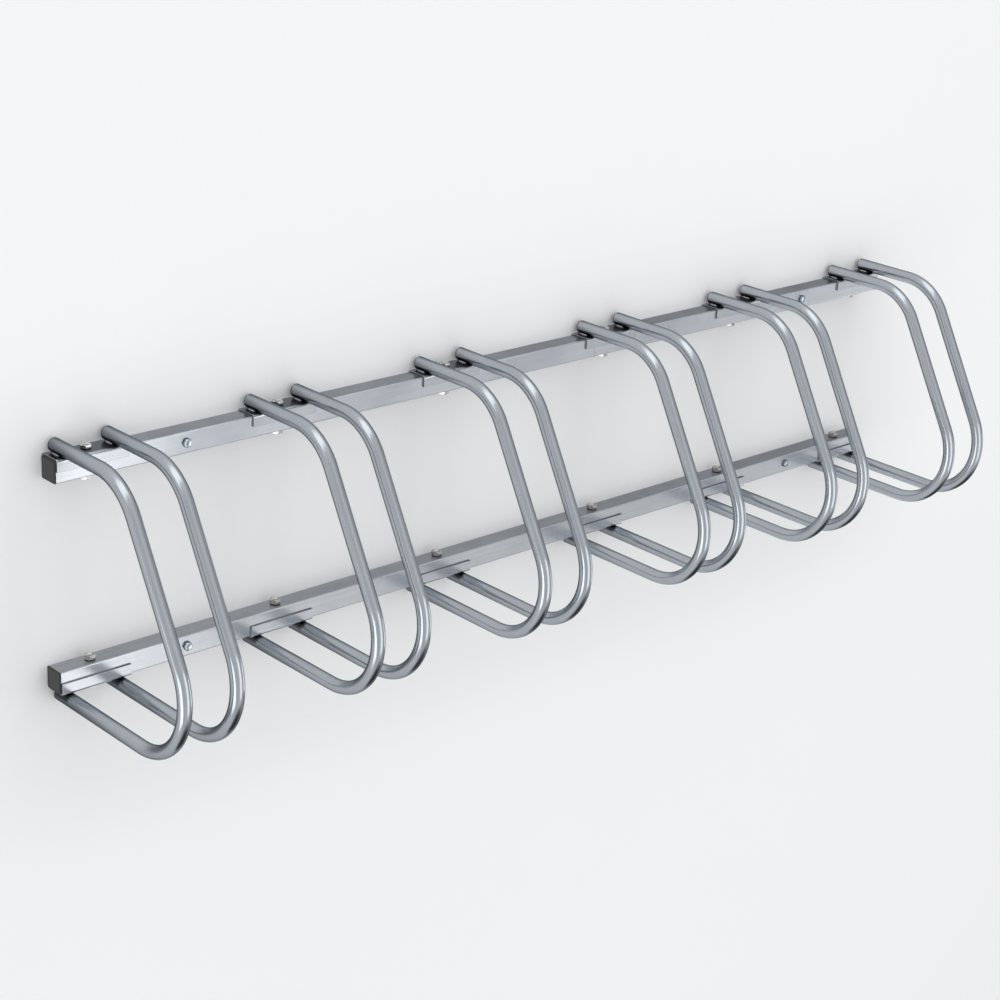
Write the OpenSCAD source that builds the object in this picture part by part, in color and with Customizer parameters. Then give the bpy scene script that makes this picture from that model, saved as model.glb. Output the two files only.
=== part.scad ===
// Two-rail wall bike rack: six places, each a pair of bent tube hoops clamped to two square rails.
// +X runs along the rails, the front faces -Y and the wall is the plane y = 0, with +Z up.
// The origin is the middle of the four wall screws, on the wall.

/* [Bike places] */
// Mean distance from one bike place to the next
pair_pitch = 350; // [300:5:600]
// Distance between the centrelines of the two hoops of a place, which a wheel stands between
hoop_gap = 90; // [60:1:130]

/* [Rails] */
// Outer side of the square rail tube
rail_w = 35; // [30:1:60]
// Wall of the rail tube
rail_wall = 2.5; // [1.5:0.1:4]
// Outer corner radius of the rail tube
rail_corner_r = 2; // [1:0.25:5]
// Clear height between the two rails
rail_gap = 300; // [240:5:450]
// Length of steel rail past the last hoop's centreline
rail_end_margin = 16; // [12:1:80]

/* [Rail joint] */
// Distance from the middle of the joint's bike place to the seam between the rail sections
seam_offset = 38; // [0:1:55]
// Open gap at the seam
seam_gap = 0.6; // [0.2:0.1:2]
// Length of the sleeve inside the joint
sleeve_l = 160; // [130:5:240]
// Wall of the sleeve
sleeve_wall = 2.5; // [1.5:0.1:4]
// Clearance between the sleeve and the inside of the rail, on each side
sleeve_fit = 0.3; // [0.1:0.05:0.8]

/* [End plugs] */
// Thickness of the plug's lip outside the rail
plug_lip_t = 2.5; // [1.5:0.25:5]
// Depth of the plug inside the rail
plug_depth = 18; // [12:1:30]
// Wall of the plug's hollow core
plug_wall = 2; // [1:0.25:3]
// Space between the core and the inside of the rail, which the fins cross
plug_fin_h = 1.2; // [0.6:0.1:2]
// Thickness of each fin
plug_fin_t = 1.2; // [0.6:0.1:2]
// Clearance between the fins and the inside of the rail, on each side
plug_fit = 0.1; // [0.05:0.05:0.3]

/* [Hoops] */
// Outer diameter of the hoop tube
tube_d = 22; // [16:0.5:30]
// Wall of the hoop tube
tube_wall = 2; // [1:0.25:4]
// Distance from the wall to the foremost point of the hoops
hoop_depth = 344; // [320:2:460]
// Lean of the front of the hoop back from upright, in degrees
front_lean = 29.5; // [15:0.5:32]
// Centreline radius of the upper bend
upper_bend_r = 97; // [50:1:110]
// Centreline radius of the lower bend
lower_bend_r = 107; // [60:1:120]
// Gap between the wall and the cut ends of the hoop tube
hoop_end_gap = 8; // [4:1:20]

/* [Brackets] */
// Length of a saddle bracket along its rail
bracket_l = 122; // [115:1:170]
// Thickness of the bracket plate
bracket_t = 3; // [2:0.25:5]
// Height of the bracket's flanges, with the plate
flange_h = 20; // [14:1:28]
// Clearance between a flange and its rail face
bracket_fit = 0.25; // [0.1:0.05:0.6]

/* [Welds] */
// Length of a weld bead along a hoop leg
weld_l = 18; // [10:1:25]
// Radius of the bead's round back
weld_r = 3.5; // [2:0.25:4]
// Height of the gap under the tube where the bead is centred
weld_gap = 1.2; // [1:0.1:2]

/* [Clamp bolts] */
// Diameter of the clamp bolts
bolt_d = 10; // [8:1:12]
// Width across flats of the clamp bolt heads and nuts
bolt_af = 16; // [13:1:19]
// Height of the clamp bolt heads
bolt_head_h = 6.4; // [5:0.1:8]
// Height of the clamp nuts
nut_h = 8.4; // [6:0.1:11]
// Length of bolt that stands out of its nut
bolt_end_l = 2.2; // [1:0.1:10]
// Play of a clamp bolt in its holes, on the diameter
bolt_play = 1; // [0.5:0.25:2]
// Clearance between a nut's bore and its bolt, on the radius
thread_fit = 0.05; // [0.02:0.01:0.1]

/* [Wall screws] */
// Diameter of the wall screws
screw_d = 8; // [6:1:10]
// Width across flats of the wall screw heads
screw_af = 13; // [10:1:16]
// Height of the wall screw heads
screw_head_h = 5.3; // [4:0.1:7]
// Length of the wall screws behind the wall's face
wall_bite = 42; // [30:1:80]
// Length of the wall screws' tapered tip
screw_tip_l = 6; // [3:0.5:10]
// How much slimmer a wall screw's plain neck is than its thread, on the radius
screw_neck_cut = 0.3; // [0.2:0.05:0.6]
// Length of thread in front of the wall's face, behind the rail
screw_lead = 1.5; // [0.5:0.25:2]
// Play of a wall screw in its holes, on the diameter
screw_play = 1; // [0.5:0.25:2]
// Distance from the steel end of a rail to its wall screw
screw_inset = 226; // [200:1:240]

/* [Hidden] */
$fn = 64;
// Overrun of every cut past the face that it opens
over = 1;
// Each step from one bike place to the next, as a share of the mean distance
pair_step_shares = [0.994, 0.983, 1.066, 0.963, 0.994];
// Width of the chamfer on a hexagon's corners, as a share of its width across flats
hex_chamfer_share = 0.07;
// Chamfer on a bolt's tip, as a share of its diameter
tip_chamfer_share = 0.1;
// Number of fins on a plug's core
plug_fins = 3;
// Number of the bike place that the rail joint lies at, counted from the left
joint_place = 4;

zinc = [0.66, 0.69, 0.72];
bright_zinc = [0.79, 0.81, 0.84];
bolt_zinc = [0.87, 0.87, 0.84];
dark_plastic = [0.27, 0.28, 0.29];

// Bike places along the rails
places = len(pair_step_shares) + 1;
function share_sum(n) = n < 1 ? 0 : share_sum(n - 1) + pair_step_shares[n - 1];
pair_span = pair_pitch * share_sum(places - 1);
function place_x(place) = pair_pitch * share_sum(place - 1) - pair_span / 2;
function hoop_x(place, side) = place_x(place) + side * hoop_gap / 2;

// Rails: depth and height of their centrelines, their ends and the seam
rail_y = -(bracket_t + bracket_fit + rail_w / 2);
rail_z = (rail_gap + rail_w) / 2;
rail_front_y = rail_y - rail_w / 2;
rail_end_x = (pair_span + hoop_gap) / 2 + rail_end_margin;
seam_x = place_x(joint_place) - seam_offset;
rail_bore_w = rail_w - 2 * rail_wall;
rail_bore_r = rail_corner_r / 2;
screw_x = rail_end_x - screw_inset;

// Brackets: outer face of the plate, and the bend that follows the rail's corner
plate_z = rail_z + rail_w / 2 + bracket_t;
bend_in_r = rail_corner_r;
bend_out_r = rail_corner_r + bracket_t;

// Hoops: legs, bend centres and the straight front between the bends
tube_r = tube_d / 2;
leg_z = plate_z + tube_r;
lower_bend_y = -(hoop_depth - tube_r - lower_bend_r);
lower_bend_z = lower_bend_r - leg_z;
upper_bend_z = leg_z - upper_bend_r;
lower_corner_y = lower_bend_y - lower_bend_r * tan((90 + front_lean) / 2);
upper_corner_y = lower_corner_y + 2 * leg_z * tan(front_lean);
upper_bend_y = upper_corner_y + upper_bend_r * tan((90 - front_lean) / 2);
front_foot_y = lower_bend_y - lower_bend_r * cos(front_lean);
front_foot_z = lower_bend_z + lower_bend_r * sin(front_lean);
front_top_z = upper_bend_z + upper_bend_r * sin(front_lean);
front_l = (front_top_z - front_foot_z) / cos(front_lean);

// Fasteners
bolt_l = bracket_t + rail_w + nut_h + bolt_end_l;
bolt_hole_d = bolt_d + bolt_play;
screw_l = wall_bite - rail_front_y;
screw_neck_l = -rail_front_y - screw_lead;
screw_hole_d = screw_d + screw_play;

// Centre of a weld bead beside the line where the tube touches the plate
weld_x = sqrt(tube_r * tube_r - (tube_r - weld_gap) * (tube_r - weld_gap));

// A square with round corners, centred
module round_square(w, r) {
    square([w, w - 2 * r], center = true);
    square([w - 2 * r, w], center = true);
    for (sx = [-1, 1], sy = [-1, 1])
        translate([sx * (w / 2 - r), sy * (w / 2 - r)]) circle(r);
}

// A square tube's end face
module square_ring(w, wall, r, bore_r) {
    difference() {
        round_square(w, r);
        round_square(w - 2 * wall, bore_r);
    }
}

// Sweeps a flat shape along +X, with the shape's sides along Y and Z, from x1 to x2
module sweep_x(x1, x2) {
    translate([x1, 0, 0]) rotate([90, 0, 90]) linear_extrude(x2 - x1) children();
}

// Moves its children to the upper rail's centreline, or to the lower rail's with the top turned down
module on_rail(upper) {
    mirror([0, 0, upper ? 0 : 1]) translate([0, rail_y, rail_z]) children();
}

// Clamp bolt holes through a rail or sleeve, for the places between x1 and x2
module clamp_holes(x1, x2) {
    for (place = [1:places])
        if (place_x(place) > x1 && place_x(place) < x2)
            translate([place_x(place), 0, 0])
                cylinder(d = bolt_hole_d, h = rail_w + 2 * over, center = true);
}

// One section of a rail, with the holes for its clamp bolts and its wall screw
module rail_section(upper, x1, x2, wall_screw_x) {
    color(bright_zinc) on_rail(upper) difference() {
        sweep_x(x1, x2) square_ring(rail_w, rail_wall, rail_corner_r, rail_bore_r);
        clamp_holes(x1, x2);
        translate([wall_screw_x, 0, 0]) rotate([90, 0, 0])
            cylinder(d = screw_hole_d, h = rail_w + 2 * over, center = true);
    }
}

module rail_left(upper) {
    rail_section(upper, -rail_end_x, seam_x - seam_gap / 2, -screw_x);
}

module rail_right(upper) {
    rail_section(upper, seam_x + seam_gap / 2, rail_end_x, screw_x);
}

// The sleeve that lines up the two sections of a rail
module rail_joiner(upper) {
    sleeve_w = rail_bore_w - 2 * sleeve_fit;
    x1 = seam_x - sleeve_l / 2;
    x2 = seam_x + sleeve_l / 2;
    color(zinc) on_rail(upper) difference() {
        sweep_x(x1, x2) square_ring(sleeve_w, sleeve_wall, rail_bore_r, rail_bore_r / 2);
        clamp_holes(x1, x2);
    }
}

// A ribbed plastic plug pushed into a rail's open end; side is -1 at the left and 1 at the right
module end_plug(upper, side) {
    core_w = rail_bore_w - 2 * plug_fin_h;
    fin_w = rail_bore_w - 2 * plug_fit;
    fin_step = plug_depth / plug_fins;
    color(dark_plastic) on_rail(upper) mirror([side < 0 ? 1 : 0, 0, 0])
        translate([rail_end_x, 0, 0]) {
            sweep_x(0, plug_lip_t) round_square(rail_w, rail_corner_r);
            sweep_x(-plug_depth, 0) square_ring(core_w, plug_wall, rail_bore_r, rail_bore_r / 2);
            for (fin = [1:plug_fins])
                translate([-fin * fin_step, 0, 0]) sweep_x(0, plug_fin_t)
                    square_ring(fin_w, plug_fin_h + plug_wall / 2, rail_bore_r, rail_bore_r / 2);
        }
}

// A straight stretch of round bar along +Y from the origin
module straight_bar(r, l) {
    rotate([-90, 0, 0]) cylinder(r = r, h = l);
}

// A block on one side of the plane of X and Z, reaching d each way: toward +Y if side is 1, else -Y
module half_space(d, side) {
    translate([-d, side > 0 ? 0 : -d, -d]) cube([2 * d, d, 2 * d]);
}

// A bend that starts on the X axis at bend_r and turns about Z, and the straight leg of length l after it
module bend_and_leg(bend_r, turn, l, r) {
    reach = 2 * bend_r;
    intersection() {
        rotate([0, 0, -90]) rotate_extrude() translate([bend_r, 0]) circle(r);
        half_space(reach, 1);
        rotate([0, 0, turn]) half_space(reach, -1);
    }
    rotate([0, 0, turn]) translate([bend_r, 0, 0]) straight_bar(r, l);
}

// The hoop's whole path as a round bar of radius r in the plane of X and Y, its front along +Y.
// Both legs run on by extra_l past the cut ends of the tube.
module hoop_bar(r, extra_l) {
    straight_bar(r, front_l);
    translate([-upper_bend_r, front_l, 0])
        bend_and_leg(upper_bend_r, 90 - front_lean, extra_l - upper_bend_y - hoop_end_gap, r);
    mirror([0, 1, 0]) translate([-lower_bend_r, 0, 0])
        bend_and_leg(lower_bend_r, 90 + front_lean, extra_l - lower_bend_y - hoop_end_gap, r);
}

// One hoop: a tube bent twice and open at the rear, stood up with its front leaning back
module hoop(place, side) {
    color(zinc) translate([hoop_x(place, side), front_foot_y, front_foot_z])
        rotate([90, 0, 90]) rotate([0, 0, 180 - front_lean]) mirror([0, 1, 0]) difference() {
            hoop_bar(tube_r, 0);
            hoop_bar(tube_r - tube_wall, over);
        }
}

// A flat-footed shape with its two top corners round
module arch_face(w, h, r) {
    translate([-w / 2, 0]) square([w, h - r]);
    translate([r - w / 2, 0]) square([w - 2 * r, h]);
    for (s = [-1, 1]) translate([s * (w / 2 - r), h - r]) circle(r);
}

// A saddle bracket: folded plate over the rail, with a flange in front and one behind
module bracket(upper, place) {
    inner_w = rail_w + 2 * bracket_fit;
    plate_top = rail_w / 2 + bracket_t;
    color(bright_zinc) on_rail(upper) translate([place_x(place), 0, 0]) difference() {
        translate([0, 0, plate_top - flange_h]) sweep_x(-bracket_l / 2, bracket_l / 2)
            difference() {
                arch_face(inner_w + 2 * bracket_t, flange_h, bend_out_r);
                translate([0, -over]) arch_face(inner_w, flange_h - bracket_t + over, bend_in_r);
            }
        translate([0, 0, plate_top - bracket_t - over])
            cylinder(d = bolt_hole_d, h = bracket_t + 2 * over);
    }
}

// A weld bead in the corner between a hoop leg and its plate, tapered at both ends
module weld_bead(side) {
    difference() {
        intersection() {
            translate([side * weld_x, weld_l / 2, 0]) rotate([90, 0, 0])
                rotate_extrude() polygon([
                    [0, 0], [weld_r, weld_r], [weld_r, weld_l - weld_r], [0, weld_l]
                ]);
            translate([-tube_d, -weld_l, 0]) cube([2 * tube_d, 2 * weld_l, tube_r]);
        }
        translate([0, 0, tube_r]) rotate([90, 0, 0])
            cylinder(r = tube_r, h = weld_l + 2 * over, center = true);
    }
}

// All the weld beads on one rail's brackets
module hoop_welds(upper) {
    color(zinc) on_rail(upper)
        for (place = [1:places], hoop_side = [-1, 1], bead_side = [-1, 1])
            translate([hoop_x(place, hoop_side), 0, plate_z - rail_z]) weld_bead(bead_side);
}

// A hexagon whose corners are turned off at the top, and at the bottom too if both is true
module hexagon(af, h, both) {
    corner_r = af / 2 / cos(30);
    chamfer = af * hex_chamfer_share;
    foot_r = both ? corner_r - chamfer : corner_r;
    foot_h = both ? chamfer / 2 : 0;
    intersection() {
        cylinder(r = corner_r, h = h, $fn = 6);
        rotate_extrude() polygon([
            [0, 0], [foot_r, 0], [corner_r, foot_h],
            [corner_r, h - chamfer / 2], [corner_r - chamfer, h], [0, h]
        ]);
    }
}

// A clamp bolt that points down, with the underside of its head at z = 0
module clamp_bolt() {
    tip = bolt_d * tip_chamfer_share;
    hexagon(bolt_af, bolt_head_h, false);
    translate([0, 0, tip - bolt_l]) cylinder(d = bolt_d, h = bolt_l - tip);
    translate([0, 0, -bolt_l]) cylinder(r1 = bolt_d / 2 - tip, r2 = bolt_d / 2, h = tip);
}

// The clamp bolts of one rail, each through a bracket and the rail between two hoops
module clamp_bolts(upper) {
    color(bolt_zinc) on_rail(upper)
        for (place = [1:places]) translate([place_x(place), 0, plate_z - rail_z]) clamp_bolt();
}

// The nuts of one rail, on the rail's inner face
module clamp_nuts(upper) {
    color(bolt_zinc) on_rail(upper)
        for (place = [1:places]) translate([place_x(place), 0, -rail_w / 2 - nut_h])
            difference() {
                hexagon(bolt_af, nut_h, true);
                translate([0, 0, -over]) cylinder(r = bolt_d / 2 + thread_fit, h = nut_h + 2 * over);
            }
}

// A hexagon wood screw that points down, with the underside of its head at z = 0: a plain neck
// through the rail, and from just in front of the wall a thicker length for the thread
module wood_screw() {
    hexagon(screw_af, screw_head_h, false);
    translate([0, 0, -screw_neck_l]) cylinder(r = screw_d / 2 - screw_neck_cut, h = screw_neck_l);
    translate([0, 0, screw_tip_l - screw_l])
        cylinder(d = screw_d, h = screw_l - screw_tip_l - screw_neck_l);
    translate([0, 0, -screw_l]) cylinder(r1 = screw_d / 4, r2 = screw_d / 2, h = screw_tip_l);
}

// The four wall screws, with their heads on the rails' front faces
module wall_screws() {
    color(bolt_zinc)
        for (sx = [-1, 1], sz = [-1, 1])
            translate([sx * screw_x, rail_front_y, sz * rail_z]) rotate([90, 0, 0]) wood_screw();
}

levels = ["upper", "lower"];

for (level = levels) {
    upper = level == "upper";
    rail_left(upper);
    rail_right(upper);
    rail_joiner(upper);
    end_plug(upper, -1);
    end_plug(upper, 1);
    for (place = [1:places])
        bracket(upper, place);
    hoop_welds(upper);
    clamp_bolts(upper);
    clamp_nuts(upper);
}
for (place = [1:places]) {
    hoop(place, -1);
    hoop(place, 1);
}
wall_screws();
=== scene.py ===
"""A wall rack for six bikes: two square rails, one above the other, and six pairs of bent tube hoops
clamped across them. Metres; X runs along the rails, the wall is at Y = 0, Z is up."""

import math

import bmesh
import bpy
from bmesh.types import BMEdge, BMFace, BMVert
from mathutils import Matrix, Vector


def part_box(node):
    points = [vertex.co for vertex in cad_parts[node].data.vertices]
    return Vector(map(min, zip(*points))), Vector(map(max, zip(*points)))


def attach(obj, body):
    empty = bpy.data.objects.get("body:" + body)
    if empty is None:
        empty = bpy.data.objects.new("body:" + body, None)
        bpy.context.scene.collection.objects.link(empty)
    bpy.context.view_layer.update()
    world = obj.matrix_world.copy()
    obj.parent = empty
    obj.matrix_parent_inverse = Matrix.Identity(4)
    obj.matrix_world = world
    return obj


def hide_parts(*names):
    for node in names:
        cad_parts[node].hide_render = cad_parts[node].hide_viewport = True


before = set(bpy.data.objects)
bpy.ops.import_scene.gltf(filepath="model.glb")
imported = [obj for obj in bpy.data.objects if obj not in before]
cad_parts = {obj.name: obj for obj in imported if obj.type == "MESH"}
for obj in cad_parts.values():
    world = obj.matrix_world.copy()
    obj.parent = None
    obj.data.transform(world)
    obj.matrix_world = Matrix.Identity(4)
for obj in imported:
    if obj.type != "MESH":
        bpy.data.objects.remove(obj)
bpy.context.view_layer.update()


# The camera stands in front of the rack, to its left and a little above it, with a long lens. It looks at
# the rails from a slant, so they run up across the picture.
CAMERA_PLACE, CAMERA_TURN = (-2.50561, -2.61230, 1.29974), (68.8583, -2.7896, -42.4886)
SENSOR_WIDTH, LENS_LENGTH, FARTHEST_SIGHT = 36, 79.385, 60

camera = bpy.data.objects.new("camera", bpy.data.cameras.new("camera"))
bpy.context.scene.collection.objects.link(camera)
bpy.context.scene.camera = camera
camera.location = CAMERA_PLACE
camera.rotation_euler = [math.radians(turn) for turn in CAMERA_TURN]
camera.data.sensor_width = SENSOR_WIDTH
camera.data.lens = LENS_LENGTH
camera.data.clip_end = FARTHEST_SIGHT


# The room is a pale painted wall behind the rack, which only the camera sees and only from its front, and
# a pale studio. Five soft lamps stand round the rack, low at the left, the front, the right and behind its
# right end, and high at the left. The wall's colour holds a painted shadow, greyer round the rack, and
# painted shade that greys it towards the bottom.
WALL_HALF_SIZE, WALL_COLOUR, WALL_SHADED_LEVEL = 9, (0.94, 0.945, 0.95, 1), 0.90
PLASTER_SHARE, PAINTED_SHADOW_SHARE, LOWER_SHADE_SHARE = 0.15, 0.85, 0.4
PAINTED_SHADOW_Z, PAINTED_SHADOW_ACROSS, PAINTED_SHADOW_UP, LOWER_SHADE_SPAN = -0.1, (1.35, 0.75), (0.46, 0.20), (0.2, -0.7)
FACING_OUT = Matrix.Rotation(math.pi / 2, 4, "X")


class Shade:
    """One output of a node tree. Sums on it add the nodes that work them out."""

    def __init__(self, tree, socket=None):
        self.tree, self.socket = tree, socket

    def node(self, kind, settings=(), inputs=(), out=0):
        made = self.tree.nodes.new("ShaderNode" + kind)
        for name, value in dict(settings).items():
            if name == "stops":
                for number, (place, level) in enumerate(value):
                    stops = made.color_ramp.elements
                    stop = stops[number] if number < len(stops) else stops.new(place)
                    stop.position, stop.color = place, (level, level, level, 1)
            else:
                setattr(made, name, value)
        for name, value in dict(inputs).items():
            if isinstance(value, Shade):
                self.tree.links.new(value.socket, made.inputs[name])
            else:
                made.inputs[name].default_value = value
        return Shade(self.tree, made.outputs[out]) if made.outputs else None

    def maths(self, operation, *values):
        return self.node("Math", {"operation": operation}, enumerate(values))

    def vectors(self, operation, *values, out=0):
        return self.node("VectorMath", {"operation": operation}, enumerate(values), out)

    def axes(self, wanted):
        """The wanted ones of a vector's three numbers."""
        return [self.node("SeparateXYZ", inputs={0: self}, out=axis) for axis in wanted]

    def __add__(self, other):
        return self.maths("ADD", self, other)

    __radd__ = __add__

    def __sub__(self, other):
        return self.maths("SUBTRACT", self, other)

    def __rsub__(self, other):
        return self.maths("SUBTRACT", other, self)

    def __mul__(self, other):
        if self.socket.type in ("RGBA", "VECTOR"):
            return self.node("VectorMath", {"operation": "SCALE"}, {0: self, "Scale": other})
        return self.maths("MULTIPLY", self, other)

    __rmul__ = __mul__

    def __abs__(self):
        return self.maths("ABSOLUTE", self)

    def between(self, low, high):
        """0 at low, 1 at high, and smooth in between."""
        return self.node("MapRange", {"interpolation_type": "SMOOTHSTEP"}, {0: self, 1: low, 2: high})

    def colours(self, first, second):
        """The first colour where this is 0, the second where it is 1."""
        return self.node("Mix", {"data_type": "RGBA"}, {0: self, 6: first, 7: second}, out=2)


def dimmed(colour, share):
    """A colour at that share of its level."""
    return tuple(share * level for level in colour[:3]) + (1,)


wall_paint = bpy.data.materials.new("wall_paint")
wall_paint.use_nodes = True
wall_paint.node_tree.nodes.clear()
paint = Shade(wall_paint.node_tree)
seen = paint.node("LightPath", out="Is Camera Ray") * (1 - paint.node("NewGeometry", out="Backfacing"))
on_wall = paint.node("TexCoord", out="Object")
plaster = paint.node("TexNoise", inputs={"Vector": on_wall, "Scale": 1.5})
across, up = on_wall.axes("XZ")
# Painted shadow round the rack and painted shade towards the bottom, over the plaster's own blotches.
painted_shadow = abs(across).between(*PAINTED_SHADOW_ACROSS) * abs(up - PAINTED_SHADOW_Z).between(*PAINTED_SHADOW_UP)
plaster_and_painted_shade = plaster * PLASTER_SHARE + painted_shadow * PAINTED_SHADOW_SHARE + up.between(*LOWER_SHADE_SPAN) * LOWER_SHADE_SHARE
painted = plaster_and_painted_shade.colours(WALL_COLOUR, dimmed(WALL_COLOUR, WALL_SHADED_LEVEL))
matt = paint.node("BsdfDiffuse", inputs={"Color": painted})
paint.node("OutputMaterial", inputs={"Surface": paint.node("MixShader", inputs={
    0: seen, 1: paint.node("BsdfTransparent"), 2: matt})})

wall_mesh = bmesh.new()
bmesh.ops.create_grid(wall_mesh, x_segments=1, y_segments=1, size=WALL_HALF_SIZE, matrix=FACING_OUT)
wall = bpy.data.objects.new("wall", bpy.data.meshes.new("wall"))
wall_mesh.to_mesh(wall.data)
wall_mesh.free()
wall.data.materials.append(wall_paint)
bpy.context.scene.collection.objects.link(wall)

# The steel mirrors the studio's levels round the rack, a grey wall where it faces the wall and a nearly
# black floor below. The levels run from behind the wall over the left, at 0.25, the front, at 0.5, and the
# right, at 0.75, to behind the wall again.
STUDIO_LEVELS = [
    (0.0, 0.92), (0.14, 0.86), (0.26, 0.90), (0.34, 0.78), (0.43, 0.76), (0.50, 0.96), (0.56, 0.89),
    (0.60, 0.73), (0.645, 0.60), (0.70, 0.50), (0.83, 0.54), (0.89, 0.76), (0.96, 0.96)]
CEILING_COLOUR, CEILING_EDGE = (0.88, 0.88, 0.88, 1), (0.45, 0.8)
WALL_MIRRORED, WALL_WAY, WALL_EDGE = (0.33, 0.335, 0.34, 1), (-0.05, 0.98, -0.19), (0.80, 0.96)
FLOOR_MIRRORED, FLOOR_WAY, FLOOR_EDGE = (0.02, 0.021, 0.022, 1), (0.20, -0.25, -0.947), (0.82, 0.98)
FLOOR_FRONT, BACKDROP_COLOUR = (-0.14, 0.02), (0.88, 0.885, 0.89, 1)
LIGHT_FROM_BELOW, LIGHT_FROM_ABOVE = (0.485, 0.487, 0.488, 1), (1.035, 1.038, 1.039, 1)

studio = bpy.data.worlds.new("studio")
bpy.context.scene.world = studio
studio.use_nodes = True
studio.node_tree.nodes.clear()
air = Shade(studio.node_tree)
rays = {ray: air.node("LightPath", out=f"Is {ray} Ray") for ray in ("Camera", "Glossy", "Transmission")}
shown = air.maths("MINIMUM", rays["Camera"] + rays["Glossy"] + rays["Transmission"], 1.0)
way = air.node("TexCoord", out="Generated")
along, deep, height = way.axes("XYZ")
round_about = air.maths("ARCTAN2", along, 0 - deep) * (0.5 / math.pi) + 0.5
screens = air.node("ValToRGB", {"stops": STUDIO_LEVELS}, {0: round_about})
screens = height.between(*CEILING_EDGE).colours(screens, CEILING_COLOUR)
behind, below = (air.vectors("DOT_PRODUCT", way, aim, out="Value") for aim in (WALL_WAY, FLOOR_WAY))
screens = behind.between(*WALL_EDGE).colours(screens, WALL_MIRRORED)
floor = below.between(*FLOOR_EDGE) * (0 - deep).between(*FLOOR_FRONT)
mirrored = floor.colours(screens, FLOOR_MIRRORED)
pale = rays["Camera"].colours(mirrored, BACKDROP_COLOUR)
lighting = height.between(-1.0, 1.0).colours(LIGHT_FROM_BELOW, LIGHT_FROM_ABOVE)
air.node("OutputWorld", inputs={"Surface": air.node("Background", inputs={
    "Color": shown.colours(lighting, pale), "Strength": 1.0})})


def lamp(name, azimuth, elevation, distance, size, radiance, twist=0):
    """A soft rectangle of light that faces the rack. Azimuth 0 is straight in front and 90 at the right
    end, and the twist turns the rectangle in its own plane."""
    turn, rise = math.radians(azimuth), math.radians(elevation)
    away = Vector((math.sin(turn) * math.cos(rise), -math.cos(turn) * math.cos(rise), math.sin(rise)))
    light = bpy.data.lights.new(name, "AREA")
    light.shape = "RECTANGLE"
    light.size, light.size_y = size
    light.energy = radiance * math.pi * size[0] * size[1]
    holder = bpy.data.objects.new(name, light)
    holder.location = away * distance
    facing = away.to_track_quat("Z", "Y").to_matrix() @ Matrix.Rotation(math.radians(twist), 3, "Z")
    holder.rotation_euler = facing.to_euler()
    bpy.context.scene.collection.objects.link(holder)


lamp("left_lamp", azimuth=-76, elevation=-19, distance=6, size=(3.0, 4.0), radiance=1.85)
lamp("front_lamp", azimuth=8, elevation=-8, distance=4, size=(1.9, 4.1), radiance=1.1)
lamp("right_lamp", azimuth=91, elevation=-17, distance=8, size=(8.4, 3.7), radiance=1.7)
lamp("high_lamp", azimuth=-50, elevation=76, distance=8, size=(12.0, 3.9), radiance=1.15, twist=50)
lamp("low_lamp", azimuth=142, elevation=-54, distance=8, size=(4.2, 3.4), radiance=1.1)


# Twelve hoops, two for each bike, each one round steel tube bent twice and hot-dip galvanised. The lower
# leg comes out of the wall plane, turns up and leans back, and turns in again over the upper rail.
PLACES = range(1, 7)
TUBE_RADIUS, BORE_RADIUS, TUBE_SIDES, TUBE_RIM_ROUND = 0.011, 0.009, 48, 0.0005
LEG_START_Y, LEG_Z = -0.008, 0.199
LOWER_BEND_Y, LOWER_BEND_RADIUS = -0.226, 0.107
UPPER_BEND_RADIUS, BEND_STEPS = 0.097, 44
FRONT_LEAN, FRONT_LENGTH = math.radians(29.5), 0.21724
# The colour of bare sawn steel, which also paints shade on the hoops' rims by the wall and in the crevice
# where a leg lies on its bracket.
BARE_AND_SHADE_COLOUR, WALL_RIM_SHADE_Y = (0.09, 0.092, 0.097, 1), (-0.0105, -0.0088)
CREVICE_SHADE_Y, CREVICE_SHADE_Z = (-0.049, -0.041), (LEG_Z + 0.0005, LEG_Z - 0.0045)


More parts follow.
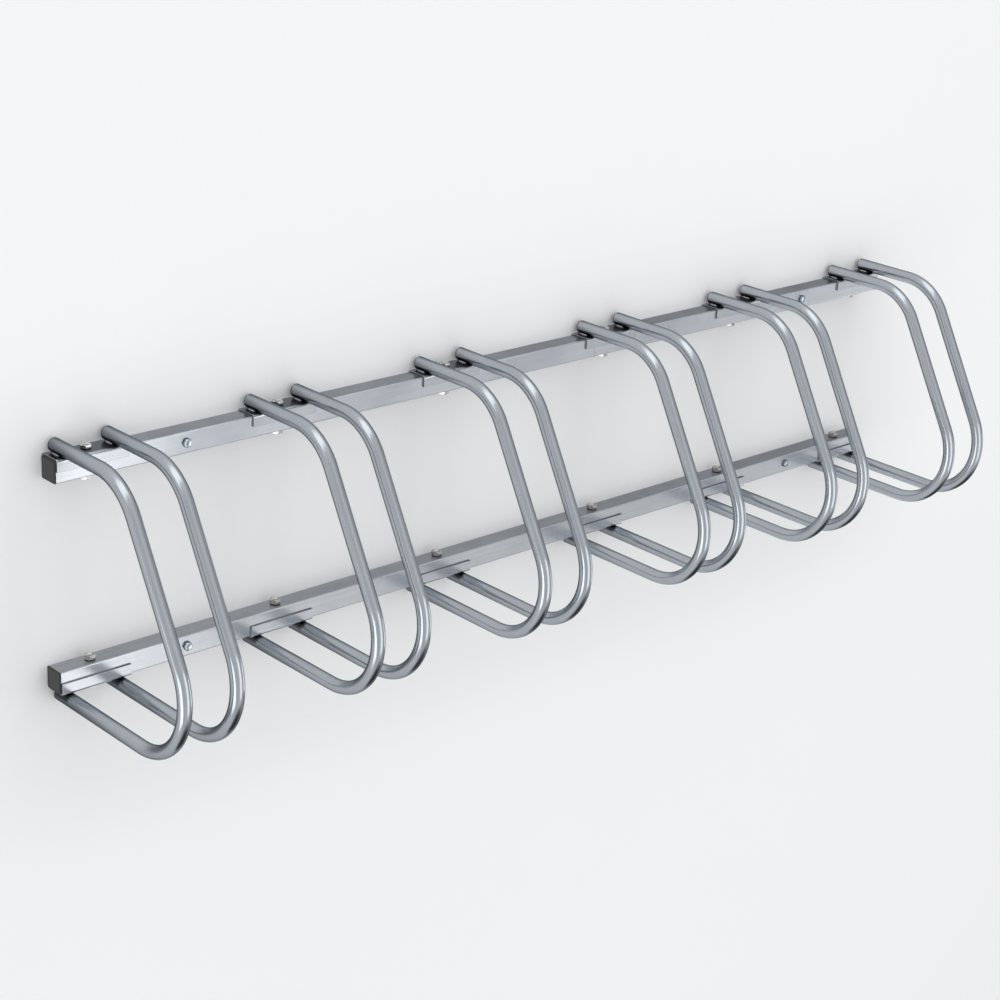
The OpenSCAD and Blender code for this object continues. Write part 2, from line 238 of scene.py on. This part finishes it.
def galvanised(name, colour, painted_top_colour, edge_tint, roughness, grain, brushed, spangle, cut=0.0, rim=0.0):
    """Zinc-coated steel: cloudy, with faint zinc crystals and fine lines along the way that it was drawn,
    a little rougher on the faces that lie upwards, which take their own top colour as painted shade (as a
    faint painted light on the hoops), less reflecting where it is seen along its surface, and dark on the
    sawn or sheared ends that face along X. Painted shade darkens the rims next to the wall and the side
    that lies on a bracket, in the crevice where the tube meets it."""
    material = bpy.data.materials.new(name)
    material.use_nodes = True
    steel = Shade(material.node_tree)
    place = steel.node("TexCoord", out="Object")
    clouds = steel.node("TexNoise", inputs={"Vector": place, "Scale": 22.0, "Detail": 4.0})
    specks = steel.node("TexNoise", inputs={"Vector": place, "Scale": 420.0, "Detail": 3.0})
    crystals = steel.node("SeparateColor", inputs={0: steel.node("TexVoronoi", inputs={
        "Vector": place, "Scale": 85.0, "Randomness": 1.0}, out="Color")})
    drawn = steel.vectors("MULTIPLY", place, grain)
    lines = steel.node("TexNoise", inputs={"Vector": drawn, "Scale": 1.0, "Detail": 3.0})
    streaks = steel.node("TexNoise", inputs={"Vector": drawn, "Scale": 0.25, "Detail": 2.0})
    sideways, upwards = steel.node("TexCoord", out="Normal").axes("XZ")
    # Painted shade: faces that lie upwards take the top colour in place of their own.
    painted_top_shade, sawn = upwards.between(0.55, 0.9), abs(sideways).between(0.6, 0.9)
    from_wall, from_middle = place.axes("YZ")
    # Painted shade on the rims next to the wall and in the crevice on the bracket, scaled by rim.
    crevice_shade = abs(from_middle).between(*CREVICE_SHADE_Z) * from_wall.between(*CREVICE_SHADE_Y)
    painted_shade_marks = steel.maths("MAXIMUM", from_wall.between(*WALL_RIM_SHADE_Y), crevice_shade)
    bare_and_painted_shade = steel.maths("MAXIMUM", sawn * cut, painted_shade_marks * rim)
    mottle = (clouds - 0.5) * 0.35 + (specks - 0.5) * 0.50 + (streaks - 0.5) * 0.30
    shade = (1 + (clouds - 0.5) * 0.08 + (specks - 0.5) * 0.06 + (crystals - 0.5) * spangle
             + ((lines - 0.5) * 0.36 + (streaks - 0.5) * 0.10) * brushed + mottle * painted_top_shade * (1.6 * brushed))
    shader = material.node_tree.nodes["Principled BSDF"]
    shader.inputs["Metallic"].default_value = 0.97
    shader.inputs["Specular Tint"].default_value = edge_tint
    links = {"Base Color": bare_and_painted_shade.colours(painted_top_shade.colours(colour, painted_top_colour), BARE_AND_SHADE_COLOUR) * shade,
             "Roughness": roughness + (clouds - 0.5) * 0.08 + (lines - 0.5) * 0.04 * brushed + painted_top_shade * 0.05,
             "Normal": steel.node("Bump", inputs={
                 "Strength": 0.2, "Distance": 0.00006,
                 "Height": (specks - 0.5) * 0.4 + (lines - 0.5) * 0.3 * brushed})}
    for socket, value in links.items():
        steel.tree.links.new(value.socket, shader.inputs[socket])
    return material


def made_piece(name, mesh, material, node, sharp=35, broad=1.0):
    """Turns a finished bmesh into a piece that stands for a CAD node and rides on the rack. Faces of a
    broad area or more are flat, and the rest are smooth up to the sharp angle."""
    bmesh.ops.recalc_face_normals(mesh, faces=mesh.faces)
    piece = bpy.data.objects.new(name, bpy.data.meshes.new(name))
    mesh.to_mesh(piece.data)
    mesh.free()
    piece.data.set_sharp_from_angle(angle=math.radians(sharp))
    piece.data.polygons.foreach_set("use_smooth", [face.area < broad for face in piece.data.polygons])
    piece.data.materials.append(material)
    bpy.context.scene.collection.objects.link(piece)
    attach(piece, "root")
    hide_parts(node)


def middle_x(node):
    """How far along the rack the middle of a CAD node lies."""
    low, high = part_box(node)
    return (low.x + high.x) / 2


def only(kind, parts):
    """The vertices, the edges or the faces among the parts that an operator made."""
    return [part for part in parts if isinstance(part, kind)]


def rounded(mesh, parts, offset, segments=2, affect="EDGES"):
    """Rounds edges, or the corners of a flat face, that far in from each side."""
    bmesh.ops.bevel(mesh, geom=parts, offset=offset, segments=segments, profile=0.5, affect=affect,
                    material=-1)


def hoop_tube(x):
    """A hoop's tube and its bore, from the open end of its lower leg to that of its upper leg."""
    mesh = bmesh.new()
    start = Matrix.Translation((x, LEG_START_Y, -LEG_Z)) @ FACING_OUT
    for radius in (TUBE_RADIUS, BORE_RADIUS):
        bmesh.ops.create_circle(mesh, segments=TUBE_SIDES, radius=radius, matrix=start)
    first = mesh.edges[:]

    def straight(edges, step):
        out = bmesh.ops.extrude_edge_only(mesh, edges=edges)["geom"]
        bmesh.ops.translate(mesh, verts=only(BMVert, out), vec=step)
        return [edge for edge in only(BMEdge, out) if len(edge.link_faces) == 1]

    def bend(edges, centre, turn):
        return only(BMEdge, bmesh.ops.spin(mesh, geom=edges, cent=centre, axis=(1, 0, 0), angle=-turn,
                                           steps=BEND_STEPS)["geom_last"])

    lower_centre = Vector((x, LOWER_BEND_Y, LOWER_BEND_RADIUS - LEG_Z))
    front = Vector((0, math.sin(FRONT_LEAN), math.cos(FRONT_LEAN)))
    inward = Vector((0, math.cos(FRONT_LEAN), -math.sin(FRONT_LEAN)))
    upper_centre = lower_centre + front * FRONT_LENGTH + inward * (UPPER_BEND_RADIUS - LOWER_BEND_RADIUS)
    ring = straight(first, (0, LOWER_BEND_Y - LEG_START_Y, 0))
    ring = bend(ring, lower_centre, math.pi / 2 + FRONT_LEAN)
    ring = straight(ring, front * FRONT_LENGTH)
    ring = bend(ring, upper_centre, math.pi / 2 - FRONT_LEAN)
    last = straight(ring, (0, LEG_START_Y - upper_centre.y, 0))
    for ends in (first, last):
        bmesh.ops.bridge_loops(mesh, edges=ends)
    rounded(mesh, [edge for edge in first + last if edge.is_valid], TUBE_RIM_ROUND)
    return mesh


hoop_steel = galvanised("galvanised_hoop", (0.408, 0.44, 0.475, 1), (0.415, 0.448, 0.483, 1),
                        (0.20, 0.215, 0.235, 1), roughness=0.20, grain=(420.0, 9.0, 9.0), brushed=0.12,
                        spangle=0.02, rim=1.0)
for place in PLACES:
    for side in ("left", "right"):
        node = f"hoop_{place}_{side}"
        made_piece(f"{node}_tube", hoop_tube(middle_x(node)), hoop_steel, node)


# Twelve saddle brackets, one over each rail at each pair of hoops: a steel strip folded down at the front
# and the back, drilled for the clamp bolt and galvanised. The hoops are welded to its outer face.
PLATE_Z, PLATE_THICK, FLANGE, FOLD_RADIUS, FOLD_STEPS = 0.188, 0.003, 0.020, 0.005, 8
SHEARED_ANGLE, SHEARED_ROUND = 1.2, 0.0003
STRIP_GRAIN, STRIP_EDGE_TINT = (9.0, 380.0, 380.0), (0.45, 0.46, 0.48, 1)


def saddle_bracket(low, high, upper):
    """A strip folded over its rail, from one corner of its CAD node's box to the other."""
    mesh = bmesh.new()
    corners = [(low.y, PLATE_Z - FLANGE), (low.y, PLATE_Z), (high.y, PLATE_Z), (high.y, PLATE_Z - FLANGE)]
    verts = [mesh.verts.new((low.x, y, z)) for y, z in corners]
    strip = [mesh.edges.new(pair) for pair in zip(verts, verts[1:])]
    out = bmesh.ops.extrude_edge_only(mesh, edges=strip)["geom"]
    bmesh.ops.translate(mesh, verts=only(BMVert, out), vec=(high.x - low.x, 0, 0))
    rounded(mesh, [edge for edge in mesh.edges if len(edge.link_faces) == 2], FOLD_RADIUS, FOLD_STEPS)
    bmesh.ops.recalc_face_normals(mesh, faces=mesh.faces)
    middle = Vector(((low.x + high.x) / 2, (low.y + high.y) / 2, PLATE_Z - FLANGE))
    plate = max(mesh.faces, key=lambda face: face.calc_area())
    if plate.normal.dot(plate.calc_center_median() - middle) < 0:
        bmesh.ops.reverse_faces(mesh, faces=mesh.faces)
    bmesh.ops.solidify(mesh, geom=mesh.faces[:], thickness=PLATE_THICK)
    sheared = [e for e in mesh.edges if len(e.link_faces) == 2 and e.calc_face_angle() > SHEARED_ANGLE]
    rounded(mesh, sheared, SHEARED_ROUND)
    if not upper:
        bmesh.ops.scale(mesh, verts=mesh.verts, vec=(1, 1, -1))
    return mesh


# The upper brackets' top colour is darker than the lower brackets': painted shade.
for rail, painted_top_colour in (("upper", (0.19, 0.198, 0.212, 1)), ("lower", (0.31, 0.323, 0.345, 1))):
    bracket_steel = galvanised(f"galvanised_{rail}_bracket", (0.60, 0.625, 0.665, 1), painted_top_colour,
                               STRIP_EDGE_TINT, roughness=0.24, grain=STRIP_GRAIN, brushed=0.45,
                               spangle=0.02, cut=0.75)
    for place in PLACES:
        node = f"{rail}_bracket_{place}"
        made_piece(f"{node}_saddle", saddle_bracket(*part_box(node), rail == "upper"), bracket_steel, node,
                   sharp=50, broad=0.0005)


# The rails are square steel tubes with rounded corners, each in two sections that meet at a hairline seam
# inside the fourth bracket, with a sleeve inside them there. They are drawn tube, brushed lengthways and
# galvanised.
sleeve_steel = galvanised("galvanised_sleeve", (0.50, 0.52, 0.55, 1), (0.40, 0.41, 0.42, 1), STRIP_EDGE_TINT,
                          roughness=0.42, grain=STRIP_GRAIN, brushed=0.6, spangle=0.04)
# The upper rail's colours are lighter than the lower rail's: painted light and shade on copies of one steel.
for rail, colour, painted_top_colour in (("upper", (0.665, 0.69, 0.735, 1), (0.375, 0.392, 0.42, 1)),
                                   ("lower", (0.61, 0.635, 0.675, 1), (0.36, 0.376, 0.403, 1))):
    rail_steel = galvanised(f"galvanised_{rail}_rail", colour, painted_top_colour, STRIP_EDGE_TINT, roughness=0.24,
                            grain=STRIP_GRAIN, brushed=0.45, spangle=0.02, cut=0.75)
    for part, steel in (("left", rail_steel), ("right", rail_steel), ("joiner", sleeve_steel)):
        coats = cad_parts[f"{rail}_rail_{part}"].data.materials
        coats.clear()
        coats.append(steel)


# Forty-eight short weld beads hold the hoop legs on the brackets, two beside each leg where it crosses the
# rail. Each is a convex run of overlapping ripples, under the same coat of zinc.
OUTWARD = {"upper": 1, "lower": -1}
RAIL_Y = -0.02075
BEAD_LENGTH, BEAD_RADIUS, BEAD_SIDES, BEAD_OFFSET, BEAD_SINK = 0.018, 0.0034, 16, 0.005, 0.001
RIPPLES, RIPPLE_STEPS, RIPPLE_DEPTH, BEAD_END = 9, 4, 0.09, 0.12


def weld_bead(mesh, x, up):
    """A bead along Y that is sunk a little into the face of its bracket."""
    heart = Vector((x, 0, up * PLATE_Z))
    start = Matrix.Translation((x, RAIL_Y - BEAD_LENGTH / 2, up * PLATE_Z)) @ FACING_OUT
    everything = bmesh.ops.create_circle(mesh, segments=BEAD_SIDES, radius=BEAD_RADIUS, cap_ends=True,
                                         matrix=start)["verts"]
    cap = everything[0].link_faces[0]
    steps = RIPPLE_STEPS * RIPPLES
    for step in range(steps + 1):
        along = step / steps
        taper = math.sqrt(max(0.0, 1 - (2 * along - 1) ** 6)) * 0.75 + 0.25 * math.sin(math.pi * along)
        ripple = 1 - RIPPLE_DEPTH * (0.5 + 0.5 * math.cos(2 * math.pi * RIPPLES * along))
        size = max(BEAD_END, taper) * ripple * BEAD_RADIUS
        if step:
            cap = bmesh.ops.extrude_discrete_faces(mesh, faces=[cap])["faces"][0]
            everything += list(cap.verts)
        for vert in cap.verts:
            vert.co = heart + Vector((vert.co.x - heart.x, 0, vert.co.z - heart.z)).normalized() * size
            vert.co.y = RAIL_Y + (along - 0.5) * BEAD_LENGTH
    for vert in everything:
        if vert.is_valid and (vert.co.z - heart.z) * up < -BEAD_SINK:
            vert.co.z = heart.z - BEAD_SINK * up
    bmesh.ops.edgeloop_fill(mesh, edges=[edge for edge in mesh.edges if edge.is_boundary])


weld_steel = galvanised("galvanised_weld", (0.34, 0.35, 0.37, 1), (0.34, 0.35, 0.37, 1),
                        (0.30, 0.31, 0.32, 1), roughness=0.28, grain=(200.0, 200.0, 200.0), brushed=0.4,
                        spangle=0.03)
for rail, up in OUTWARD.items():
    beads = bmesh.new()
    for place in PLACES:
        for side in ("left", "right"):
            for beside in (-BEAD_OFFSET, BEAD_OFFSET):
                weld_bead(beads, middle_x(f"hoop_{place}_{side}") + beside, up)
    made_piece(f"{rail}_weld_beads", beads, weld_steel, f"{rail}_hoop_welds", sharp=70)


# Four plugs of black polyethylene close the rail ends. A thin square lip covers the tube's edge, rounded
# all round and a little hollow in its face, and a finned core grips the bore.
PLUG_SIDE, PLUG_CORNER, PLUG_LIP, LIP_ROUND = 0.035, 0.002, 0.0025, 0.0008
BORDER, BORDER_SLOPE, HOLLOW, BORDER_MARK_X = 0.0007, 0.0004, 0.0004, (0.93815, 0.93840)
CORE_SIDE, CORE_LENGTH, CORE_OVERLAP = 0.0276, 0.018, 0.0002
FIN_SIDE, FIN_THICK, FINS = 0.0298, 0.0012, 3
CORNER_STEPS, LIP_STEPS, SQUARE_ON, TINY = 6, 3, 0.99, 1e-6


def end_plug(node, outward):
    """A plug in the box of its CAD node, with its face towards outward, which is 1 or -1 along X."""
    low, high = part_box(node)
    middle = Vector((0, (low.y + high.y) / 2, (low.z + high.z) / 2))
    lip_x = (high.x if outward > 0 else low.x) - outward * PLUG_LIP
    mesh = bmesh.new()

    def slab(side, corner, start, thick):
        across = (Matrix.Translation(middle + Vector((start, 0, 0)))
                  @ Matrix.Rotation(outward * math.pi / 2, 4, "Y"))
        square = bmesh.ops.create_grid(mesh, x_segments=1, y_segments=1, size=side / 2, matrix=across)
        rounded(mesh, square["verts"], corner, CORNER_STEPS, affect="VERTICES")
        face = next(f for f in mesh.faces if abs(f.calc_center_median().x - start) < TINY)
        out = bmesh.ops.extrude_face_region(mesh, geom=[face])["geom"]
        bmesh.ops.translate(mesh, verts=only(BMVert, out), vec=(outward * thick, 0, 0))
        return only(BMFace, out)[0]

    front = slab(PLUG_SIDE, PLUG_CORNER, lip_x, PLUG_LIP)
    rounded(mesh, list(front.edges), LIP_ROUND, LIP_STEPS)
    front = max((f for f in mesh.faces if f.normal.x * outward > SQUARE_ON), key=lambda f: f.calc_area())
    for thickness in (BORDER, BORDER_SLOPE):
        bmesh.ops.inset_region(mesh, faces=[front], thickness=thickness, depth=0)
    for vert in front.verts:
        vert.co.x = lip_x + outward * (PLUG_LIP - HOLLOW)
    slab(CORE_SIDE, PLUG_CORNER / 2, lip_x - outward * (CORE_LENGTH - CORE_OVERLAP), CORE_LENGTH)
    for fin in range(FINS):
        slab(FIN_SIDE, PLUG_CORNER / 2, lip_x - outward * CORE_LENGTH * (fin + 1) / FINS, FIN_THICK)
    return mesh


plug_plastic = bpy.data.materials.new("plug_plastic")
plug_plastic.use_nodes = True
moulded = Shade(plug_plastic.node_tree)
on_plug = moulded.node("TexCoord", out="Object")
grain = moulded.node("TexNoise", inputs={"Vector": on_plug, "Scale": 900.0, "Detail": 3.0})
scuffs = moulded.node("TexNoise", inputs={"Vector": on_plug, "Scale": 60.0, "Detail": 5.0})
border = abs(on_plug.axes("X")[0]).between(*BORDER_MARK_X)
plastic = scuffs.colours((0.036, 0.039, 0.038, 1), (0.048, 0.052, 0.050, 1))
shader = plug_plastic.node_tree.nodes["Principled BSDF"]
shader.inputs["Specular IOR Level"].default_value = 0.25
for socket, value in {
        "Base Color": border.colours(plastic, (0.012, 0.012, 0.013, 1)),
        "Roughness": 0.52 + (scuffs - 0.5) * 0.2,
        "Normal": moulded.node("Bump", inputs={
            "Strength": 0.3, "Distance": 0.0002, "Height": grain})}.items():
    moulded.tree.links.new(value.socket, shader.inputs[socket])
for rail in OUTWARD:
    for side, outward in (("left", -1), ("right", 1)):
        node = f"{rail}_{side}_plug"
        made_piece(f"{node}_cap", end_plug(node, outward), plug_plastic, node, sharp=20)


# Twelve M10 hexagon bolts clamp the brackets to the rails, heads outside. Each head is forged, with a
# washer face under it and its top corners turned off, and zinc plated.
HEAD_AF, HEAD_HEIGHT, WASHER_SHARE, WASHER_HEIGHT = 0.016, 0.0064, 0.46, 0.0007
CORNER_SLOPE, CORNER_SHARE, TOP_SHARE, TOP_ROUND = 0.55, 0.475, 0.455, 0.0001
DISH_SHARE, DISH_FLOOR_SHARE, DISH_DEPTH = 0.36, 0.33, 0.0002
BOLT_RADIUS, BOLT_SIDES, BOLT_TIP_Z, BOLT_TIP_RADIUS, BOLT_CHAMFER = 0.005, 48, 0.1394, 0.0041, 0.001
THREAD_PITCH, THREAD_DEPTH, THREADED, THREAD_STEPS = 0.0015, 0.0009, 0.016, 32
THREAD_PROFILE = ((0, 0), (0, 0.12), (1, 0.44), (1, 0.56), (0, 0.88), (0, 1))
# The band of painted shade where a head or nut sits on the steel.
SEAT_SHADE_MARK = (0.0016, 0.0009)


def ring_at(mesh, edges, height, radius=0.0, af=None, slope=0.0):
    """Grows a ring of edges to a circle, or to a hexagon of that width with its corners lower by a slope."""
    if edges is None:
        verts = bmesh.ops.create_circle(mesh, segments=BOLT_SIDES, radius=radius)["verts"]
    else:
        verts = only(BMVert, bmesh.ops.extrude_edge_only(mesh, edges=edges)["geom"])
    for vert in verts:
        turn = math.atan2(vert.co.y, vert.co.x)
        reach = radius if af is None else af / 2 / math.cos(turn % (math.pi / 3) - math.pi / 6)
        drop = 0 if af is None else (reach - af / 2) * slope
        vert.co = (reach * math.cos(turn), reach * math.sin(turn), height - drop)
    grown = set(verts)
    return list(dict.fromkeys(e for vert in verts for e in vert.link_edges if e.other_vert(vert) in grown))


def thread(mesh, crest, depth, pitch, start, length):
    """A screw thread from start up along Z, cut off square at both ends."""
    verts = [mesh.verts.new((crest if high else crest - depth, 0, start + (share - 2) * pitch))
             for high, share in THREAD_PROFILE]
    chain = [mesh.edges.new(pair) for pair in zip(verts, verts[1:])]
    turns = int(length / pitch) + 4
    bmesh.ops.spin(mesh, geom=verts + chain, cent=(0, 0, 0), axis=(0, 0, 1), steps=THREAD_STEPS * turns,
                   angle=2 * math.pi * turns, dvec=(0, 0, pitch / THREAD_STEPS))
    bmesh.ops.remove_doubles(mesh, verts=mesh.verts, dist=pitch / 1000)
    for height, way in ((start, -1), (start + length, 1)):
        bmesh.ops.bisect_plane(mesh, geom=mesh.verts[:] + mesh.edges[:] + mesh.faces[:], dist=TINY / 10,
                               plane_co=(0, 0, height), plane_no=(0, 0, way), clear_outer=True)
        rim = [e for e in mesh.edges if e.is_boundary and all(abs(v.co.z - height) < TINY for v in e.verts)]
        bmesh.ops.edgeloop_fill(mesh, edges=rim)


def shank(mesh, radius, start):
    """A plain rod from start up to Z = 0, closed at both ends."""
    ring = ring_at(mesh, None, start, radius)
    bmesh.ops.edgeloop_fill(mesh, edges=ring)
    bmesh.ops.edgeloop_fill(mesh, edges=ring_at(mesh, ring, 0, radius))


def hexagon_head(mesh, af, height):
    """A bolt head that stands on Z = 0, with a washer face under it and a shallow dish in its top."""
    ring = ring_at(mesh, None, 0, af * WASHER_SHARE)
    bmesh.ops.edgeloop_fill(mesh, edges=ring)
    ring = ring_at(mesh, ring, WASHER_HEIGHT, af * WASHER_SHARE)
    ring = ring_at(mesh, ring, WASHER_HEIGHT, af=af)
    ring = ring_at(mesh, ring, height - TOP_ROUND, af=af, slope=CORNER_SLOPE)
    ring = ring_at(mesh, ring, height - TOP_ROUND, af * CORNER_SHARE)
    ring = ring_at(mesh, ring, height, af * TOP_SHARE)
    ring = ring_at(mesh, ring, height, af * DISH_SHARE)
    ring = ring_at(mesh, ring, height - DISH_DEPTH, af * DISH_FLOOR_SHARE)
    bmesh.ops.edgeloop_fill(mesh, edges=ring)


def clamp_bolt():
    """A bolt that stands head up, with the bracket's face at Z = 0."""
    bolt = bmesh.new()
    tip = BOLT_TIP_Z - PLATE_Z
    thread(bolt, BOLT_RADIUS, THREAD_DEPTH, THREAD_PITCH, tip, THREADED)
    for vert in bolt.verts:
        height = vert.co.z - tip
        if height < BOLT_CHAMFER:
            keep = min(1, (BOLT_TIP_RADIUS + height) / max(TINY, math.hypot(vert.co.x, vert.co.y)))
            vert.co.x, vert.co.y = vert.co.x * keep, vert.co.y * keep
    shank(bolt, BOLT_RADIUS, tip + THREADED)
    hexagon_head(bolt, HEAD_AF, HEAD_HEIGHT)
    return bolt


def into(whole, part, matrix):
    """Adds a small bmesh to a bigger one at its place."""
    bmesh.ops.recalc_face_normals(part, faces=part.faces)
    bmesh.ops.transform(part, matrix=matrix, verts=part.verts)
    carrier = bpy.data.meshes.new("carrier")
    part.to_mesh(carrier)
    part.free()
    whole.from_mesh(carrier)
    bpy.data.meshes.remove(carrier)


def plated(name, colour, roughness, axis, seat):
    """Bright zinc plate over forged steel: nearly even, with faint wear and a fine grain, and painted shade
    in the corner where it sits on the steel at that distance along the axis."""
    material = bpy.data.materials.new(name)
    material.use_nodes = True
    zinc = Shade(material.node_tree)
    place = zinc.node("TexCoord", out="Object")
    wear = zinc.node("TexNoise", inputs={"Vector": place, "Scale": 160.0, "Detail": 4.0})
    grain = zinc.node("TexNoise", inputs={"Vector": place, "Scale": 1500.0, "Detail": 2.0})
    plate = wear.between(0.35, 0.65).colours(dimmed(colour, 0.8), colour)
    # Painted shade: a dark band on the piece just off the face it sits on.
    painted_seat_shade = abs(abs(place.axes(axis)[0]) - seat).between(*SEAT_SHADE_MARK)
    shader = material.node_tree.nodes["Principled BSDF"]
    shader.inputs["Metallic"].default_value = 0.95
    shader.inputs["Specular Tint"].default_value = (0.35, 0.35, 0.35, 1)
    for socket, value in {
            "Base Color": painted_seat_shade.colours(plate, (0.04, 0.04, 0.04, 1)),
            "Roughness": roughness + (wear - 0.5) * 0.2,
            "Normal": zinc.node("Bump", inputs={
                "Strength": 0.2, "Distance": 0.0001, "Height": grain})}.items():
        zinc.tree.links.new(value.socket, shader.inputs[socket])
    return material


bolt_zinc = plated("bolt_zinc", (0.82, 0.815, 0.79, 1), roughness=0.15, axis="Z", seat=PLATE_Z)
for rail, up in OUTWARD.items():
    bolts = bmesh.new()
    for place in PLACES:
        stand = Matrix.Translation((middle_x(f"{rail}_bracket_{place}"), RAIL_Y, up * PLATE_Z))
        into(bolts, clamp_bolt(), stand @ Matrix.Scale(up, 4, (0, 0, 1)))
    made_piece(f"{rail}_hexagon_bolts", bolts, bolt_zinc, f"{rail}_clamp_bolts")


# Each bolt has a hexagon nut on the rail's inner face, chamfered on both sides, with a countersunk thread.
# The bolt's end stands a thread and a half out of it.
NUT_FACE_Z, NUT_HEIGHT, NUT_BORE, COUNTERSINK = 0.150, 0.0084, 0.00505, 0.0007


def clamp_nut():
    """A nut that stands on Z = 0."""
    nut = bmesh.new()
    chamfer, mouth = HEAD_AF * CORNER_SHARE, NUT_BORE + COUNTERSINK
    ring = first = ring_at(nut, None, 0, chamfer)
    ring = ring_at(nut, ring, 0, af=HEAD_AF, slope=-CORNER_SLOPE)
    ring = ring_at(nut, ring, NUT_HEIGHT, af=HEAD_AF, slope=CORNER_SLOPE)
    ring = ring_at(nut, ring, NUT_HEIGHT, chamfer)
    ring = ring_at(nut, ring, NUT_HEIGHT, mouth)
    ring = ring_at(nut, ring, NUT_HEIGHT - COUNTERSINK, NUT_BORE)
    ring = ring_at(nut, ring, COUNTERSINK, NUT_BORE)
    ring = ring_at(nut, ring, 0, mouth)
    bmesh.ops.bridge_loops(nut, edges=ring + first)
    return nut


# The nuts' zinc is the bolts' zinc made darker: painted shade.
shaded_nut_zinc = plated("shaded_nut_zinc", (0.62, 0.61, 0.58, 1), roughness=0.20, axis="Z", seat=NUT_FACE_Z)
for rail, up in OUTWARD.items():
    nuts = bmesh.new()
    for place in PLACES:
        stand = Matrix.Translation((middle_x(f"{rail}_bracket_{place}"), RAIL_Y, up * NUT_FACE_Z))
        into(nuts, clamp_nut(), stand @ Matrix.Scale(-up, 4, (0, 0, 1)))
    made_piece(f"{rail}_hexagon_nuts", nuts, shaded_nut_zinc, f"{rail}_clamp_nuts")


# Four M8 hexagon screws hold the rails to the wall. Each goes through both walls of a rail into its anchor,
# which belongs to the wall.
SCREW_AF, SCREW_HEAD, SCREW_RADIUS, NECK_RADIUS = 0.013, 0.0053, 0.004, 0.0037
SCREW_X, SCREW_Z, RAIL_FRONT_Y, SCREW_END_Y = 0.710, 0.1675, -0.03825, 0.042
SCREW_PITCH, SCREW_THREAD_DEPTH, SCREW_THREADED = 0.0030, 0.0011, 0.0435
SCREW_TIP, SCREW_TIP_SHARE = 0.006, 0.5


def wall_screw():
    """A screw that stands head up, with the rail's front at Z = 0."""
    screw = bmesh.new()
    tip = RAIL_FRONT_Y - SCREW_END_Y
    thread(screw, SCREW_RADIUS, SCREW_THREAD_DEPTH, SCREW_PITCH, tip, SCREW_THREADED)
    for vert in screw.verts:
        keep = min(1, SCREW_TIP_SHARE + (1 - SCREW_TIP_SHARE) * (vert.co.z - tip) / SCREW_TIP)
        vert.co.x, vert.co.y = vert.co.x * keep, vert.co.y * keep
    shank(screw, NECK_RADIUS, tip + SCREW_THREADED)
    hexagon_head(screw, SCREW_AF, SCREW_HEAD)
    return screw


screw_zinc = plated("screw_zinc", (0.54, 0.60, 0.67, 1), roughness=0.20, axis="Y", seat=-RAIL_FRONT_Y)
screws = bmesh.new()
for x in (-SCREW_X, SCREW_X):
    for z in (-SCREW_Z, SCREW_Z):
        into(screws, wall_screw(), Matrix.Translation((x, RAIL_FRONT_Y, z)) @ FACING_OUT)
made_piece("wall_hexagon_screws", screws, screw_zinc, "wall_screws")


# The picture keeps its plain levels.
bpy.context.scene.view_settings.view_transform = "Standard"
